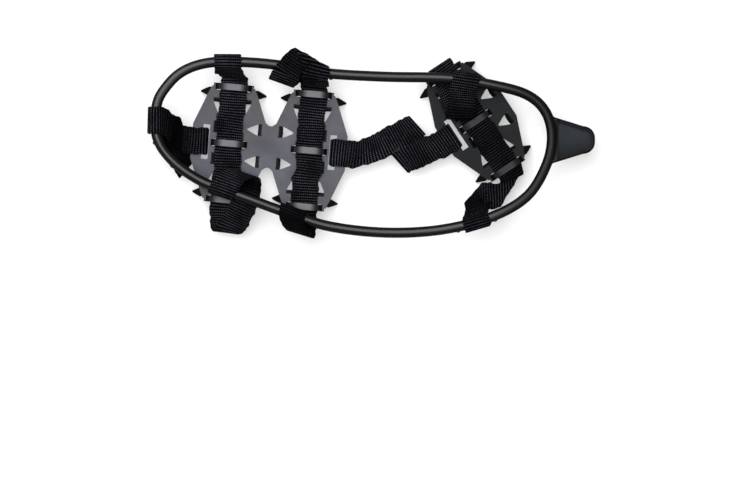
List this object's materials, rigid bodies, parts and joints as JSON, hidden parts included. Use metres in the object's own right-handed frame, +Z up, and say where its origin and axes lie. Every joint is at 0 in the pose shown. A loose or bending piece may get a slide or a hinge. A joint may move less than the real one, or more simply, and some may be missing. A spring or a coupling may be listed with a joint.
{
  "type": "ice cleat",
  "caption": "Strap-on ice cleat: toothed steel front and heel plates slung on nylon webbing inside a stretchy rubber ring with a heel pull tab.",
  "frame": {"origin": "middle of the cleat's footprint, on the ground under the tooth tips", "axes": "+X from toe to heel, +Z up towards the boot sole, +Y to the left of someone who looks from the toe to the heel"},
  "size_m": [0.3219, 0.1376, 0.0303],
  "materials": {
    "rubber": "smooth moulded, slight sheen",
    "front_steel": "satin grey plating",
    "heel_steel": "satin dark coating",
    "webbing": "ribbed black nylon weave",
    "thread": "black sewing thread"
  },
  "bodies": {
    "ring": {"ring": "rubber", "toe_strap": "webbing", "toe_row_strap": "webbing", "ball_row_strap": "webbing", "connecting_strap": "webbing", "toe_loop_stitching": "thread", "toe_slot_stitching": "thread", "toe_row_top_stitching": "thread", "toe_row_end_stitching": "thread", "ball_row_top_stitching": "thread", "ball_row_end_stitching": "thread", "front_slot_stitching": "thread", "heel_slot_stitching": "thread"},
    "front_plate": {"front_plate": "front_steel"},
    "heel_strap": {"heel_strap": "webbing", "heel_top_stitching": "thread", "heel_end_stitching": "thread"},
    "heel_plate": {"heel_plate": "heel_steel"}
  },
  "joints": [
    {"name": "front_plate_slide", "type": "slide", "parent": "ring", "child": "front_plate", "axis": [0.0872, 0.9962, 0], "range_m": [-0.002, 0.002]},
    {"name": "heel_rock", "type": "hinge", "parent": "ring", "child": "heel_strap", "pos_m": [0.0756, 0.0158, 0.0125], "axis": [-0.5519, 0.8339, 0], "range_deg": [-8, 8], "stiffness_Nm_per_rad": 0.15, "deforming": ["heel_strap", "connecting_strap", "heel_top_stitching", "heel_end_stitching", "heel_slot_stitching"]},
    {"name": "heel_plate_slide", "type": "slide", "parent": "heel_strap", "child": "heel_plate", "axis": [-0.5519, 0.8339, 0], "range_m": [-0.002, 0.002]}
  ]
}
